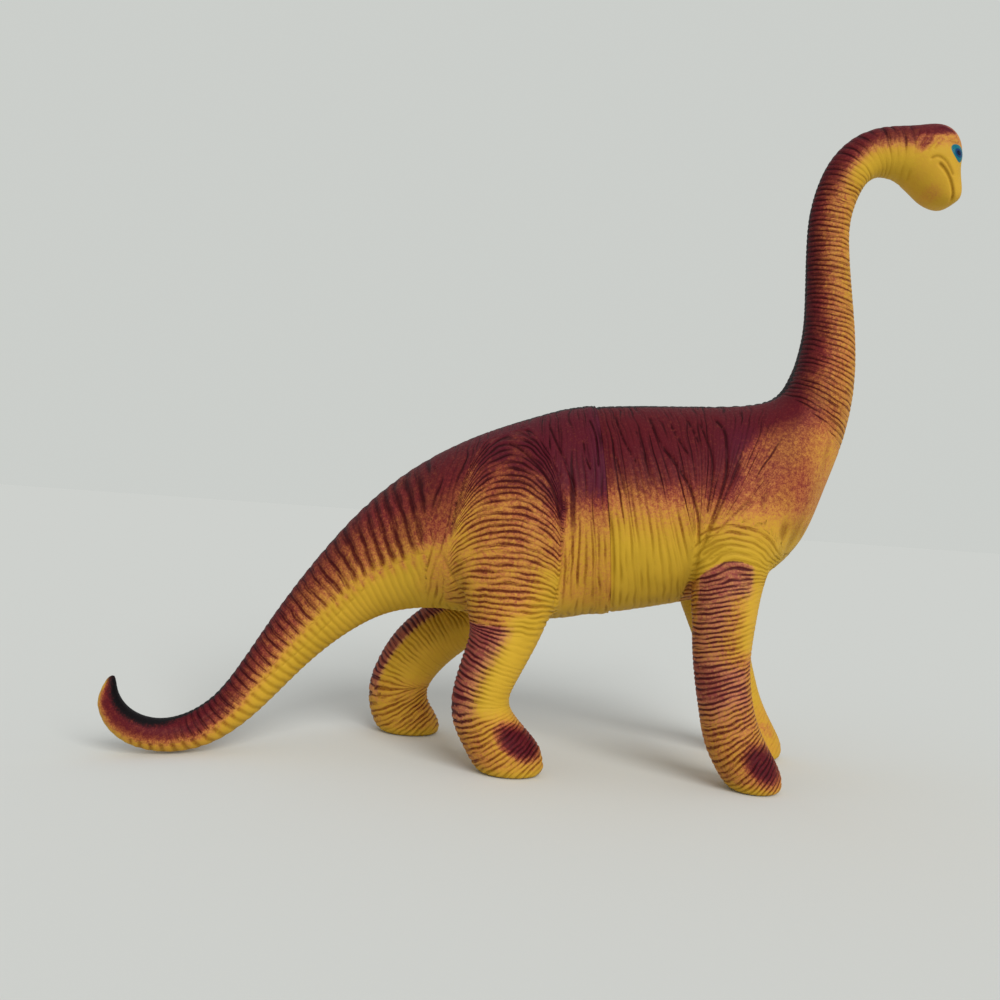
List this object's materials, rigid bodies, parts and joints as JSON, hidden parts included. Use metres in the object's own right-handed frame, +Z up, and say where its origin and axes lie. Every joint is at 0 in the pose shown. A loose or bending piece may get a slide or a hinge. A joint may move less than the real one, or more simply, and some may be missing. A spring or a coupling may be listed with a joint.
{
  "type": "toy dinosaur figure",
  "caption": "Standing long-necked dinosaur toy figure: two hollow soft-vinyl shells, plugged together at the waist, resting on four flat soles.",
  "frame": {"origin": "on the floor, under the middle of the figure's bounding box", "axes": "+X forward, where the head looks; +Y the figure's left; +Z up"},
  "size_m": [0.2355, 0.0687, 0.1979],
  "materials": {
    "front_vinyl": "soft yellow vinyl with a maroon to orange airbrushed back, wrinkled skin texture, semi-matte",
    "rear_vinyl": "soft yellow vinyl with a maroon to orange airbrushed back, wrinkled skin texture, semi-matte"
  },
  "bodies": {
    "root": {"front_shell": "front_vinyl", "rear_shell": "rear_vinyl"}
  },
  "joints": []
}
